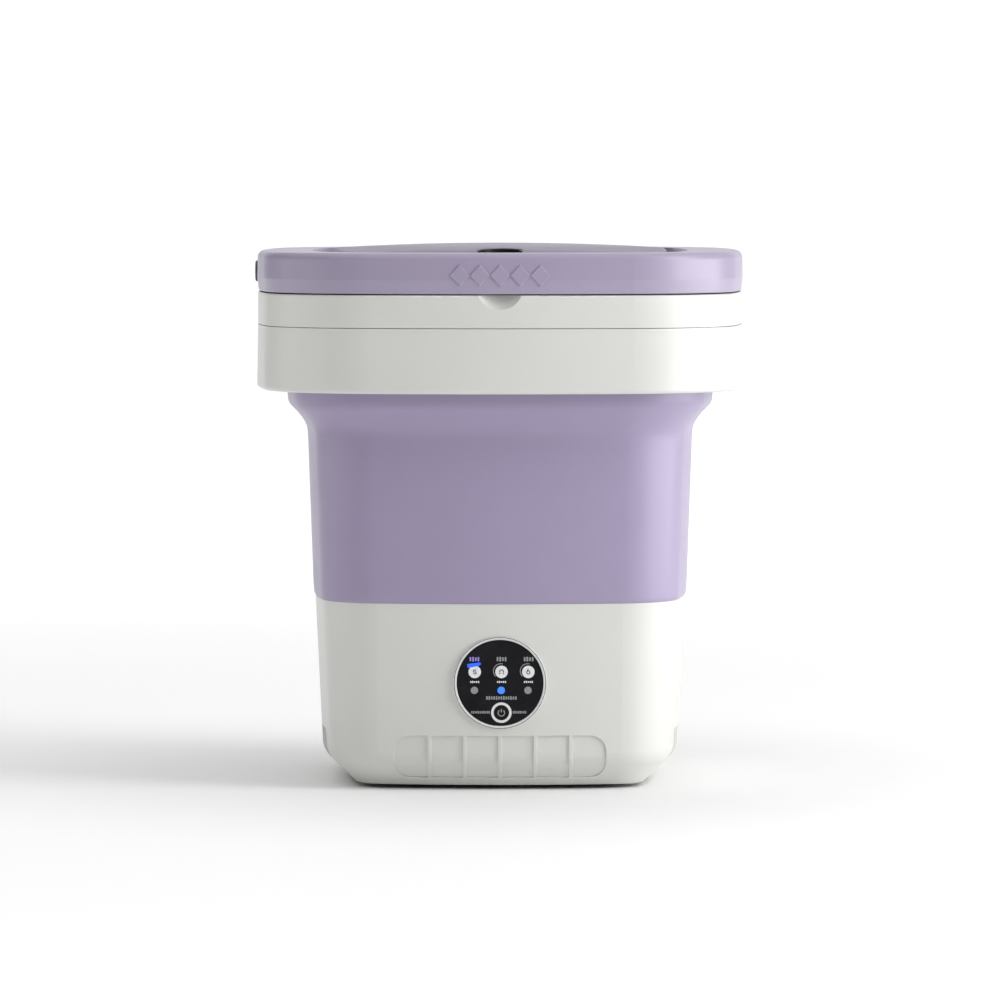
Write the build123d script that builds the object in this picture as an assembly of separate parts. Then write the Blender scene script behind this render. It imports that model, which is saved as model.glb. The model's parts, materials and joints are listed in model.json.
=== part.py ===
from build123d import *
import os
from math import degrees, sqrt

# Portable folding washer. Millimetres, +Z up, front at -Y, origin on the floor at the centre.

# Plan outline: a rounded square of eight concentric-family arcs, driven by one half width.
SIDE_OFFSET = 310.0
CORNER_OFFSET = 70.0
ARC_CENTRES = SIDE_OFFSET + CORNER_OFFSET
CORNER_AT = (sqrt(2 * ARC_CENTRES**2 - SIDE_OFFSET**2) - SIDE_OFFSET) / 2

# Overall sizes.
COLLAR_HALF = 145.0
WINDOW_PEAK = 318.6

# Collar and lid walls, counted inwards from the collar.
RIM_INSET = 0.7
RIM_WALL = 2.6
RIM_RIB = 3.2
LID_INSET = 0.3
LID_WALL = 2.9
PAN_GAP = 2.2

# Levels of the base, wall, collar and lid.
BASE_BOTTOM = 2.5
BASE_CREASE = 18.0
BASE_TOP = 110.0
BASE_BOTTOM_HALF = 90.0
BASE_CREASE_HALF = 106.0
BASE_TOP_HALF = 110.4
SHELL_WALL = 2.6
PLATE_TOP = 5.0
FLANGE_BOTTOM = 107.4
WALL_HALF = 114.8
WALL_THICKNESS = 2.6
WALL_SHOULDER = 206.6
WALL_TOP = 268.0
SKIRT_BOTTOM = 233.4
SKIRT_TOP = 271.0
SKIRT_WALL = 2.8
RIM_BOTTOM = 271.4
RIM_TOP = 290.3
MOUTH_HALF = 122.0
LID_BOTTOM = 291.0
LID_TOP = 314.5
TROUGH_HALF = 112.0
TROUGH_FLOOR = 308.5
WINDOW_HALF = 100.0
WINDOW_SEAT = 309.9
CROWN_RADIUS = 1700.0

# Screw rows, as half widths of the outline they follow.
BAND_SCREW_HALF = 106.0
COLLAR_SCREW_HALF = 134.0
LID_SCREW_HALF = 131.0

# Drive line.
SHAFT_RADIUS = 4.0
BEARING_RADIUS = 11.0
BEARING_BORE = 4.05
CAN_RADIUS = 31.0
PULSATOR_RADIUS = 62.0
HUB_RADIUS = 20.0
POST_AT = 28.0

# Control panel on the front wall, leaning with the wall.
PANEL_HEIGHT = 64.0
LENS_RADIUS = 25.15
BEZEL_LIP = 2.25
SEAT_GAP = 0.15
PANEL_SHIFT = 0.8
ICON_PITCH = 15.5
ICON_HEIGHT = 6.5
LED_HEIGHT = -4.2
KEY_HEIGHT = -17.4
KEY_RADIUS = 4.32

# Ribbed grip bands.
BAND_WIDTH = 123.8
BAND_BOTTOM = 7.5
BAND_TOP = 32.6
BAND_DEPTH = 1.0
RIB_PITCH = 20.6
RIB_WIDTH = 2.2
BAND_ROUND = 0.3
CREASE_ROUND = 11.0

# Lid details.
DIAMOND_PITCH = 11.6
DIAMOND_HALF_WIDTH = 6.4
DIAMOND_HALF_HEIGHT = 6.9
DIAMOND_RISE = 0.6
DIAMOND_HEIGHT = 301.8
BUTTON_HEIGHT = 302.0
BUTTON_LENGTH = 24.0
BUTTON_TALL = 12.4
NOTCH_WIDTH = 25.5
NOTCH_DROP = 8.4
NOTCH_DEPTH = 7.0
POCKET_RADIUS = 13.4
POCKET_WALL = 1.4

# Rear fittings.
DRAIN_X = 40.0
VALVE_Y = 60.0
VALVE_Z = 50.0
OUTLET_Z = 22.0
SPIGOT_END = 128.0
INLET_X = -45.0
INLET_Z = 30.0

# Feet and plate screws.
FOOT_X = 73.8
FOOT_Y = 52.0
FOOT_RADIUS = 8.1
BOSS_AT = 67.0


def outline(half, z):
    """Rounded-square face of a given half width at height z."""
    reach = half + SIDE_OFFSET
    a = reach * CORNER_AT / ARC_CENTRES
    b = reach * (CORNER_AT + SIDE_OFFSET) / ARC_CENTRES - SIDE_OFFSET
    k = (half - CORNER_OFFSET) / sqrt(2) + CORNER_AT
    arcs = []
    for turn in range(4):
        corner = ThreePointArc((a, -b), (k, -k), (b, -a))
        side = ThreePointArc((b, -a), (half, 0), (b, a))
        arcs.append(Rot(0, 0, 90 * turn) * corner)
        arcs.append(Rot(0, 0, 90 * turn) * side)
    return Pos(0, 0, z) * make_face(arcs)


def stack(*levels):
    """Solid through rounded squares, each level being (half width, height)."""
    return loft([outline(half, z) for half, z in levels], ruled=True)


def ring(outer, inner, z0, z1):
    """Straight band between two half widths."""
    return stack((outer, z0), (outer, z1)) - stack((inner, z0), (inner, z1))


def rod(radius, z0, z1, x=0.0, y=0.0):
    """Upright cylinder."""
    return Pos(x, y, (z0 + z1) / 2) * Cylinder(radius, z1 - z0)


def tube(outer, inner, z0, z1, x=0.0, y=0.0):
    """Upright tube."""
    return rod(outer, z0, z1, x, y) - rod(inner, z0, z1, x, y)


def rod_y(radius, y0, y1, x, z):
    """Cylinder along Y."""
    return Pos(x, (y0 + y1) / 2, z) * Rot(90, 0, 0) * Cylinder(radius, y1 - y0)


def rod_x(radius, x0, x1, y, z):
    """Cylinder along X."""
    return Pos((x0 + x1) / 2, y, z) * Rot(0, 90, 0) * Cylinder(radius, x1 - x0)


def block(x0, x1, y0, y1, z0, z1):
    """Box between two corners."""
    return Pos((x0 + x1) / 2, (y0 + y1) / 2, (z0 + z1) / 2) * Box(x1 - x0, y1 - y0, z1 - z0)


def on_outline(half, along):
    """Eight points of a rounded square, at plus and minus a distance along each side."""
    across = sqrt((half + SIDE_OFFSET) ** 2 - along**2) - SIDE_OFFSET
    points = []
    for sx in (-1, 1):
        for sy in (-1, 1):
            points.append((sx * along, sy * across))
            points.append((sx * across, sy * along))
    return points


def four(x, y):
    """The four points mirrored about both axes."""
    return [(sx * x, sy * y) for sx in (-1, 1) for sy in (-1, 1)]


def oval(length, tall, x0, x1):
    """Stadium prism along X at the lid button's height."""
    face = Plane.YZ * SlotOverall(length, tall)
    return Pos(x0, 0, BUTTON_HEIGHT) * extrude(face, x1 - x0)


def run(points, radius, bend):
    """Round lead or pipe along a bent path."""
    path = FilletPolyline(*points, radius=bend)
    start = Plane(origin=path @ 0, z_dir=path % 0)
    return sweep(start * Circle(radius), path=path)


def write(name, shape):
    """Write one node as STEP."""
    solids = shape.solids()
    body = solids[0] if len(solids) == 1 else Compound(children=solids)
    body.label = name
    export_step(body, f"parts/{name}.step")


os.makedirs("parts", exist_ok=True)

# ---------------------------------------------------------------- base shell
base_outer = stack(
    (BASE_BOTTOM_HALF, BASE_BOTTOM), (BASE_CREASE_HALF, BASE_CREASE), (BASE_TOP_HALF, BASE_TOP)
)
base_outer = fillet(base_outer.edges().group_by(Axis.Z)[2], CREASE_ROUND)
shell_inner = stack(
    (BASE_BOTTOM_HALF - 3.4, BASE_BOTTOM),
    (BASE_CREASE_HALF - 3.4, BASE_CREASE),
    (BASE_TOP_HALF - SHELL_WALL, BASE_TOP),
)
band_core = stack(
    (BASE_BOTTOM_HALF - BAND_DEPTH, BASE_BOTTOM),
    (BASE_CREASE_HALF - BAND_DEPTH, BASE_CREASE),
    (BASE_TOP_HALF - BAND_DEPTH, BASE_TOP),
)
band_core = fillet(band_core.edges().group_by(Axis.Z)[2], CREASE_ROUND)
shell = base_outer - shell_inner
skin = base_outer - band_core

band_mid = (BAND_BOTTOM + BAND_TOP) / 2
band_face = Plane.XZ * Pos(0, band_mid) * RectangleRounded(BAND_WIDTH, BAND_TOP - BAND_BOTTOM, 9.5)
band_prism = extrude(band_face, 130)
band = band_prism & skin
for rib in range(-2, 3):
    x = rib * RIB_PITCH
    band -= block(x - RIB_WIDTH / 2, x + RIB_WIDTH / 2, -130, 0, 0, 40)
for turn in (0, 90, -90):
    shell -= Rot(0, 0, turn) * band

# Soft edges round each band and along its ribs.
skin_face = base_outer.shells()[0]
core_face = band_core.shells()[0]
soft_edges = []
for edge in shell.edges():
    middle = edge @ 0.5
    beside_band = min(abs(middle.X), abs(middle.Y)) < BAND_WIDTH / 2 + 0.5
    if not (beside_band and BAND_BOTTOM - 0.5 < middle.Z < BAND_TOP + 0.5):
        continue
    if skin_face.distance_to(middle) < 0.001 and core_face.distance_to(middle) > 0.3:
        soft_edges.append(edge)
shell = fillet(soft_edges, BAND_ROUND)

# Ledge for the bowl flange, screw pillars with webs, and flat pads for the rear fittings.
shell += ring(BASE_TOP_HALF - SHELL_WALL - 0.1, 104.5, 105.0, FLANGE_BOTTOM) + ring(
    BASE_TOP_HALF - 1.0, 107.0, 105.0, FLANGE_BOTTOM
)
fittings = Part()
for x, y in four(BOSS_AT, BOSS_AT):
    fittings += rod(5, PLATE_TOP, 34, x, y)
    web = Pos(x, y, 22) * Rot(0, 0, 45 if x * y > 0 else -45) * Box(60, 2.4, 24)
    sx = 1 if x > 0 else -1
    sy = 1 if y > 0 else -1
    keep = block(*sorted((x, sx * 120)), *sorted((y, sy * 120)), 0, 40)
    fittings += web & keep
fittings += rod_y(10, 98, 105.5, INLET_X, INLET_Z)
fittings += rod_y(15, 99, 107.2, DRAIN_X, VALVE_Z)
fittings += rod_y(11, 96, 106.0, DRAIN_X, OUTLET_Z)
pads = rod_y(10, 103, 105.5, INLET_X, INLET_Z)
pads += rod_y(15, 103, 107.2, DRAIN_X, VALVE_Z)
pads += rod_y(11, 102, 106.0, DRAIN_X, OUTLET_Z)
shell = shell + (fittings & base_outer) + pads
for x, y in four(BOSS_AT, BOSS_AT):
    shell -= rod(1.5, PLATE_TOP - 1, 20, x, y)
for x, y in on_outline(BAND_SCREW_HALF, 45):
    shell -= rod(1.2, 104, 112, x, y)
shell -= rod_y(5.6, 90, 112, INLET_X, INLET_Z)
shell -= rod_y(4.4, 90, 112, DRAIN_X, VALVE_Z)
shell -= rod_y(8.1, 90, 112, DRAIN_X, OUTLET_Z)

lean = (BASE_TOP_HALF - BASE_CREASE_HALF) / (BASE_TOP - BASE_CREASE)
tilt = 1 / sqrt(1 + lean * lean)
panel_depth = BASE_CREASE_HALF + (PANEL_HEIGHT - BASE_CREASE) * lean
PANEL = Plane(
    origin=(0, -panel_depth, PANEL_HEIGHT), x_dir=(1, 0, 0), z_dir=(0, -tilt, -lean * tilt)
).location
bezel_radius = LENS_RADIUS + BEZEL_LIP
barrel_radius = LENS_RADIUS + 4 * SEAT_GAP
shell -= PANEL * rod(bezel_radius + 0.05, -1.2, 6)
shell -= PANEL * rod(barrel_radius + 0.1, -20, 6)
write("base_shell", shell)

plate = stack((BASE_BOTTOM_HALF - 3.7, BASE_BOTTOM), (BASE_BOTTOM_HALF - 3.7, PLATE_TOP))
for x, y in four(BOSS_AT, BOSS_AT):
    plate -= rod(3.4, 0, 3.9, x, y)
    plate -= rod(1.6, 0, 10, x, y)
for x, y in four(FOOT_X, FOOT_Y):
    plate -= rod(3.0, 0, 10, x, y)
for x, y in ((-78, -26), (-78, 26), (-46, -26), (-46, 26)):
    plate += tube(3, 1.2, PLATE_TOP, 9, x, y)
for slot in range(-3, 4):
    plate -= block(slot * 6 - 1.2, slot * 6 + 1.2, -14, 14, 0, 10)
write("base_plate", plate)

feet = Part()
screws = Part()
for x, y in four(FOOT_X, FOOT_Y):
    foot = rod(FOOT_RADIUS, 0, BASE_BOTTOM, x, y)
    foot = fillet(foot.edges().sort_by(Axis.Z)[0], 0.9)
    feet += foot + rod(3.0, BASE_BOTTOM, PLATE_TOP, x, y) + rod(3.8, PLATE_TOP, 6.2, x, y)
for x, y in four(BOSS_AT, BOSS_AT):
    head = rod(3.2, 2.7, 3.9, x, y) - block(x - 2.4, x + 2.4, y - 0.4, y + 0.4, 2, 3.2)
    screws += head + rod(1.5, 3.9, 18, x, y)
write("rubber_feet", feet)
write("base_screws", screws)

# ---------------------------------------------------------------- tub bowl and seals
bowl = stack((76, 62), (92, 88), (103, 104), (103, FLANGE_BOTTOM))
bowl += stack((107.6, FLANGE_BOTTOM), (107.6, BASE_TOP))
bowl -= stack((73.5, 65), (89.5, 89.5), (100.5, 104), (101.5, BASE_TOP))
bowl += rod(HUB_RADIUS, 49, 63)
for x, y in four(POST_AT, POST_AT):
    bowl += rod(4.5, 48, 63, x, y)
    bowl -= rod(1.5, 48, 58, x, y)
for wing in range(6):
    rib = block(HUB_RADIUS - 2, 64, -1.2, 1.2, 56, 63)
    bowl += Rot(0, 0, 60 * wing + 15) * rib
bowl -= rod(BEARING_RADIUS, 40, 57)
bowl -= rod(9, 50, 80)
bowl -= rod(6, 55, 80, DRAIN_X, VALVE_Y)
bowl -= rod(13.4, 50, 62, DRAIN_X, VALVE_Y)
for x, y in on_outline(BAND_SCREW_HALF, 45):
    bowl -= rod(1.25, 104, 112, x, y)
write("tub_bowl", bowl)

wall = stack(
    (BASE_TOP_HALF, BASE_TOP),
    (BASE_TOP_HALF + 1.0, BASE_TOP + 1.4),
    (WALL_HALF, WALL_SHOULDER),
    (WALL_HALF + 1.2, 212),
    (127.2, 224),
    (127.3, WALL_TOP),
)
wall -= stack(
    (BASE_TOP_HALF + 1.0 - WALL_THICKNESS, BASE_TOP + 2.0),
    (WALL_HALF - WALL_THICKNESS, WALL_SHOULDER - 0.2),
    (WALL_HALF + 1.2 - WALL_THICKNESS, 213.2),
    (124.8, 225.4),
    (124.9, WALL_TOP),
)
wall -= stack((104, BASE_TOP), (104, BASE_TOP + 3))
for x, y in on_outline(BAND_SCREW_HALF, 45):
    wall -= rod(1.25, 104, 114, x, y)
write("folding_wall", wall)

clamp = ring(108.3, 104, 112, 114.5)
clamp_screws = Part()
for x, y in on_outline(BAND_SCREW_HALF, 45):
    clamp -= rod(1.25, 110, 116, x, y)
    clamp_screws += rod(1.2, 105.6, 114.5, x, y) + rod(2.0, 114.5, 115.7, x, y)
write("wall_band", clamp)
write("band_screws", clamp_screws)

strainer = tube(10.5, 6.0, 65, 66.2, DRAIN_X, VALVE_Y) + rod(6.0, 65, 66.2, DRAIN_X, VALVE_Y)
for step in range(6):
    hole = rod(1.3, 60, 70, 4.2, 0)
    strainer -= Pos(DRAIN_X, VALVE_Y, 0) * Rot(0, 0, 60 * step) * hole
strainer -= rod(1.3, 60, 70, DRAIN_X, VALVE_Y)
write("drain_strainer", strainer)

# ---------------------------------------------------------------- drive line
bearing = tube(BEARING_RADIUS, 9.3, 50, 57) + tube(5.6, BEARING_BORE, 50, 57)
bearing += tube(9.3, 5.6, 50.6, 56.4)
write("upper_bearing", bearing)
write("lower_bearing", Pos(0, 0, -33) * bearing)
seal = tube(9, 4.08, 57, 64.6) - tube(7.4, 5.6, 60, 64.6)
write("shaft_seal", seal)

can = tube(CAN_RADIUS, 29, 15, 45) + tube(29.5, 4.6, 15, 17) + tube(13, BEARING_RADIUS, 17, 24)
for step in range(8):
    slot = Rot(0, 0, 45 * step + 22.5) * block(26, 34, -2.5, 2.5, 19, 22)
    can -= slot
write("motor_can", can)
end_cap = tube(29, 5.2, 42.6, 45)
write("motor_end_cap", end_cap)
stator = tube(29, 19.6, 27, 37)
for step in range(12):
    stator -= Rot(0, 0, 30 * step) * rod(1.6, 20, 45, 24.5, 0)
write("motor_stator", stator)
coils = Part()
for step in range(12):
    turn = Rot(0, 0, 30 * step + 15)
    coils += turn * block(20.8, 27.4, -3.6, 3.6, 37, 40.6)
    coils += turn * block(20.8, 27.4, -3.6, 3.6, 23.4, 27)
write("motor_windings", coils)

bracket = tube(46, 12, 45, 48)
for x, y in four(POST_AT, POST_AT):
    bracket -= rod(1.6, 40, 50, x, y)
for step in range(4):
    bracket -= Rot(0, 0, 90 * step) * rod(6, 40, 50, 38, 0)
write("motor_bracket", bracket)
mount_screws = Part()
for x, y in four(POST_AT, POST_AT):
    mount_screws += rod(1.5, 45, 56, x, y) + rod(3.0, 42.8, 45, x, y)
write("motor_screws", mount_screws)

shaft = rod(SHAFT_RADIUS, 17.4, 84)
shaft -= block(3.2, 6, -5, 5, 72, 84)
write("drive_shaft", shaft)
rotor = tube(19, SHAFT_RADIUS, 26, 38)
for step in range(8):
    rotor -= Rot(0, 0, 45 * step) * rod(1.4, 20, 45, 19, 0)
write("motor_rotor", rotor)

disc = rod(PULSATOR_RADIUS, 69.5, 73.5)
disc += Pos(0, 0, 73.5) * Cone(40, 12, 7, align=(Align.CENTER, Align.CENTER, Align.MIN))
disc += rod(10, 66.5, 84)
for wing in range(6):
    fin = block(8, PULSATOR_RADIUS - 4, -3.5, 3.5, 72, 84)
    trim = Pos(PULSATOR_RADIUS - 4, 0, 84) * Rot(0, 12, 0) * Box(70, 20, 9)
    fin = fillet((fin - trim).edges().filter_by(Axis.Z), 1.5)
    disc += Rot(0, 0, 60 * wing) * fin
disc -= rod(SHAFT_RADIUS, 60, 84) - block(3.2, 6, -5, 5, 72, 84)
for wing in range(6):
    for reach in (PULSATOR_RADIUS - 36, PULSATOR_RADIUS - 24, PULSATOR_RADIUS - 12):
        disc -= Rot(0, 0, 60 * wing + 30) * rod(2.2, 60, 90, reach, 0)
write("pulsator", disc)
cap = rod(11.5, 84, 87)
cap = fillet(cap.edges().sort_by(Axis.Z)[-1], 1.5)
write("pulsator_cap", cap)

# ---------------------------------------------------------------- control panel
bezel = tube(bezel_radius, LENS_RADIUS + SEAT_GAP, -1.2, 1.1)
bezel = fillet(bezel.edges().sort_by(Axis.Z)[-2:], 0.5)
bezel += tube(barrel_radius, LENS_RADIUS - 2.1, -3.4, -0.6)
bezel -= tube(bezel_radius - 0.5, bezel_radius - 0.9, 0.6, 2)
write("control_bezel", PANEL * bezel)

key_x = PANEL_SHIFT
lens = rod(LENS_RADIUS, -0.6, 0.7)
lens = fillet(lens.edges().sort_by(Axis.Z)[-1], 0.4)
lens -= rod(6.0, -0.1, 2, key_x, KEY_HEIGHT)
lens -= rod(KEY_RADIUS + 0.08, -3, 3, key_x, KEY_HEIGHT)
write("panel_lens", PANEL * lens)
write("power_ring", PANEL * tube(6.0, 4.5, -0.1, 0.9, key_x, KEY_HEIGHT))

key = rod(KEY_RADIUS, -1.5, 0.9, key_x, KEY_HEIGHT)
key = fillet(key.edges().sort_by(Axis.Z)[-1], 0.3)
key += rod(5.4, -1.5, -0.75, key_x, KEY_HEIGHT) + rod(1.6, -1.9, -1.4, key_x, KEY_HEIGHT)
write("power_key", PANEL * key)

cup_radius = LENS_RADIUS + 2 * SEAT_GAP
cup = tube(cup_radius, cup_radius - 1.4, -10.5, -3.4) + rod(cup_radius, -12, -10.5)
for x, y in four(14, 10):
    cup += rod(2.2, -10.6, -8, x, y)
cup -= block(-5, 5, -20, -14, -13, -10)
write("panel_cup", PANEL * cup)
board = rod(cup_radius - 1.8, -8, -6.4)
write("panel_board", PANEL * board)
switch = block(key_x - 3, key_x + 3, KEY_HEIGHT - 3, KEY_HEIGHT + 3, -6.4, -3.6)
switch += rod(1.5, -3.6, -2.9, key_x, KEY_HEIGHT)
write("tact_switch", PANEL * switch)
leds = Part()
pads_touch = Part()
for step in (-1, 0, 1):
    x = key_x + step * ICON_PITCH
    leds += block(x - 1.5, x + 1.5, LED_HEIGHT - 1.5, LED_HEIGHT + 1.5, -6.4, -4.6)
    pads_touch += tube(3.6, 2.6, -6.4, -0.6, x, ICON_HEIGHT)
write("mode_leds", PANEL * leds)
write("touch_springs", PANEL * pads_touch)

# ---------------------------------------------------------------- driver board and power inlet
driver = block(-82, -42, -30, 30, 9, 10.6)
for x, y in ((-78, -26), (-78, 26), (-46, -26), (-46, 26)):
    driver -= rod(1.6, 8, 12, x, y)
write("driver_board", driver)
pieces = rod(5, 10.6, 24, -70, 10) + rod(4, 10.6, 20, -58, 14)
pieces += block(-66, -54, -10, 2, 10.6, 13) + block(-76, -70, -12, 2, 10.6, 20)
pieces += block(-56, -46, -22, -14, 10.6, 17) + block(-75, -66, 18, 27, 10.6, 17)
pieces += block(-54, -46, 2, 12, 10.6, 17)
write("driver_components", pieces)
board_screws = Part()
for x, y in ((-78, -26), (-78, 26), (-46, -26), (-46, 26)):
    board_screws += rod(1.2, 5.5, 10.6, x, y) + rod(2.4, 10.6, 12, x, y)
write("board_screws", board_screws)

inlet = rod_y(8, 105.5, 107, INLET_X, INLET_Z) + rod_y(5.5, 88, 105.5, INLET_X, INLET_Z)
inlet -= rod_y(3.2, 95, 110, INLET_X, INLET_Z)
inlet += rod_y(1.0, 94, 105, INLET_X, INLET_Z)
write("dc_inlet", inlet)
nut = rod_y(8, 95, 98, INLET_X, INLET_Z) - rod_y(5.5, 90, 100, INLET_X, INLET_Z)
write("dc_inlet_nut", nut)

inlet_run = [(-45, 88, 30), (-45, 70, 30), (-71, 40, 30), (-71, 22.5, 24), (-71, 22.5, 17)]
write("inlet_leads", run(inlet_run, 1.6, 2.0))
motor_run = [(-50, 7, 17), (-50, 7, 28), (-44, 4, 34), (-31, 4, 34)]
write("motor_leads", run(motor_run, 1.6, 1.5))
cup_entry = (PANEL * Pos(0, -17, -8)).position
cable_run = [(-51, -18, 17), (-51, -18, 32), (-30, -60, 42), (0, -86, cup_entry.Z)]
cable_run.append((0, cup_entry.Y, cup_entry.Z))
write("panel_cable", run(cable_run, 1.6, 3.0))

# ---------------------------------------------------------------- drain valve and outlet
body = block(DRAIN_X - 13, DRAIN_X + 13, VALVE_Y - 11, VALVE_Y + 11, 38, 62)
body = fillet(body.edges().filter_by(Axis.Z), 3)
body -= rod(6, 30, 70, DRAIN_X, VALVE_Y)
body -= rod_y(8, 40, 69, DRAIN_X, VALVE_Z)
body -= rod_y(4.08, 60, 80, DRAIN_X, VALVE_Z)
write("drain_valve_body", body)
core = rod_y(7.94, VALVE_Y - 10.5, 68.8, DRAIN_X, VALVE_Z)
core -= rod_x(5.8, DRAIN_X - 12, DRAIN_X + 12, VALVE_Y, VALVE_Z)
core += rod_y(4.0, 68.8, 108, DRAIN_X, VALVE_Z)
write("drain_valve_core", core)
knob = rod_y(13, 108, 112, DRAIN_X, VALVE_Z) + rod_y(7, 107.6, 108, DRAIN_X, VALVE_Z)
knob += block(DRAIN_X - 12, DRAIN_X + 12, 112, 119, VALVE_Z - 3, VALVE_Z + 3)
knob -= rod_y(4.0, 100, 108, DRAIN_X, VALVE_Z)
write("drain_knob", knob)
bend = [(DRAIN_X, VALVE_Y, 38), (DRAIN_X, VALVE_Y, OUTLET_Z), (DRAIN_X, SPIGOT_END, OUTLET_Z)]
outlet = run(bend, 8.0, 14.0) - run(bend, 6.0, 14.0)
for step in range(3):
    barb = Pos(DRAIN_X, 112 + 5 * step, OUTLET_Z) * Rot(-90, 0, 0)
    barb = barb * Cone(9.0, 8.0, 4, align=(Align.CENTER, Align.CENTER, Align.MIN))
    outlet += barb - rod_y(7.0, 100, 140, DRAIN_X, OUTLET_Z)
write("drain_outlet", outlet)

# ---------------------------------------------------------------- collar
skirt_outer = stack((COLLAR_HALF, SKIRT_BOTTOM), (COLLAR_HALF - 0.6, SKIRT_TOP))
skirt_outer = fillet(skirt_outer.edges().group_by(Axis.Z)[0], 2.2)
skirt_inner = stack(
    (COLLAR_HALF - SKIRT_WALL, SKIRT_BOTTOM), (COLLAR_HALF - 0.6 - SKIRT_WALL, SKIRT_TOP - 2.4)
)
skirt = skirt_outer - skirt_inner - stack((127.9, 260), (127.9, 280))
for x, y in on_outline(COLLAR_SCREW_HALF, 50):
    skirt -= rod(1.6, 260, 280, x, y)
write("collar_skirt", skirt)

rim_half = COLLAR_HALF - RIM_INSET
rib_half = rim_half - RIM_WALL - RIM_RIB
rim = stack((rim_half, RIM_BOTTOM), (rim_half, RIM_TOP))
rim = fillet(rim.edges().group_by(Axis.Z)[-1], 1.0)
rim += ring(rim_half - 2.4, rib_half, SKIRT_TOP, RIM_BOTTOM + 1)
rim -= stack((rib_half, SKIRT_TOP), (rib_half, RIM_TOP - 2.8))
rim += ring(MOUTH_HALF + 2.6, MOUTH_HALF, 257, RIM_TOP - 1)
rim -= stack((MOUTH_HALF, 250), (MOUTH_HALF, RIM_TOP + 1))
for x, y in on_outline(COLLAR_SCREW_HALF, 50):
    rim += rod(4.2, SKIRT_TOP, RIM_TOP - 1.5, x, y)
    rim -= rod(1.3, 268, 283, x, y)
notch_mouth = (NOTCH_WIDTH**2 / 4 + NOTCH_DROP**2) / (2 * NOTCH_DROP)
notch_radius = (notch_mouth**2 + NOTCH_DEPTH**2) / (2 * NOTCH_DEPTH)
notch_front = rim_half + notch_radius - NOTCH_DEPTH
notch = Pos(0, -notch_front, RIM_TOP - NOTCH_DROP + notch_mouth) * Rot(90, 0, 0)
liner = notch * Sphere(notch_radius + 2.2)
rim += liner & stack((rim_half - 0.8, RIM_BOTTOM), (rim_half - 0.8, RIM_TOP - 1))
rim -= notch * Sphere(notch_radius)
write("rim_ring", rim)

write("wall_clamp_ring", ring(130, 127.6, 256, SKIRT_TOP - 2.4))
collar_screws = Part()
for x, y in on_outline(COLLAR_SCREW_HALF, 50):
    collar_screws += rod(1.3, 266.6, 282, x, y) + rod(2.8, 266.6, SKIRT_TOP - 2.4, x, y)
write("collar_screws", collar_screws)

# ---------------------------------------------------------------- lid
lid_half = COLLAR_HALF - LID_INSET
lid = stack((lid_half - 0.8, LID_BOTTOM), (lid_half, 299), (lid_half - 0.3, LID_TOP))
lid = fillet(lid.edges().group_by(Axis.Z)[-1], 4.0)
lid = fillet(lid.edges().group_by(Axis.Z)[0], 0.8)
lid -= stack((TROUGH_HALF - 1.4, TROUGH_FLOOR), (TROUGH_HALF, LID_TOP), (TROUGH_HALF, LID_TOP + 2))
lid -= stack((92, 290), (92, 320))
cavity_half = COLLAR_HALF - LID_INSET - LID_WALL
cavity = stack((cavity_half - 1.4, 290), (cavity_half, 298), (cavity_half - 0.4, LID_TOP - 2.8))
lid -= cavity - stack((115, 290), (115, LID_TOP))
lid -= stack((116, 290), (116, TROUGH_FLOOR - 2.5))
for x, y in on_outline(LID_SCREW_HALF, 60):
    lid += rod(4.2, 303, LID_TOP - 1.5, x, y)
    lid -= rod(1.3, 300, 311, x, y)

# Five bevelled diamonds across the front of the lid, following its curve.
gem_corners = [
    (-DIAMOND_HALF_WIDTH, 0),
    (0, -DIAMOND_HALF_HEIGHT),
    (DIAMOND_HALF_WIDTH, 0),
    (0, DIAMOND_HALF_HEIGHT),
]
gem_face = Plane.XZ.offset(lid_half - 0.8) * Polygon(*gem_corners, align=None)
gem = Pos(0, 0, DIAMOND_HEIGHT) * extrude(gem_face, 0.8 + DIAMOND_RISE, taper=28)
for step in range(-2, 3):
    swing = degrees(step * DIAMOND_PITCH / (lid_half + SIDE_OFFSET))
    lid += Pos(0, SIDE_OFFSET, 0) * Rot(0, 0, swing) * Pos(0, -SIDE_OFFSET, 0) * gem

button_face = -(COLLAR_HALF + 0.9)
lid -= oval(BUTTON_LENGTH + 0.6, BUTTON_TALL + 0.6, button_face - 4, button_face + 8)
bracket_face = button_face + 11.4
lid += block(bracket_face, bracket_face + 3, -14, 14, 299, LID_TOP - 1.5)
lid -= rod_x(3.9, bracket_face - 1.5, bracket_face + 1.8, 0, BUTTON_HEIGHT)
write("lid_ring", lid)

button = oval(BUTTON_LENGTH, BUTTON_TALL, button_face, button_face + 5.7)
button = fillet(button.faces().sort_by(Axis.X)[0].edges(), 1.0)
button += oval(BUTTON_LENGTH + 3, BUTTON_TALL + 2, button_face + 5.0, button_face + 6.5)
write("lid_button", button)
helix = Helix(pitch=1.25, height=4.0, radius=2.9)
coil = sweep(Plane(origin=helix @ 0, z_dir=helix % 0) * Circle(0.4), path=helix, is_frenet=True)
spring = Pos(button_face + 6.92, 0, BUTTON_HEIGHT) * Rot(0, 90, 0) * coil
write("lid_button_spring", spring)

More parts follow.
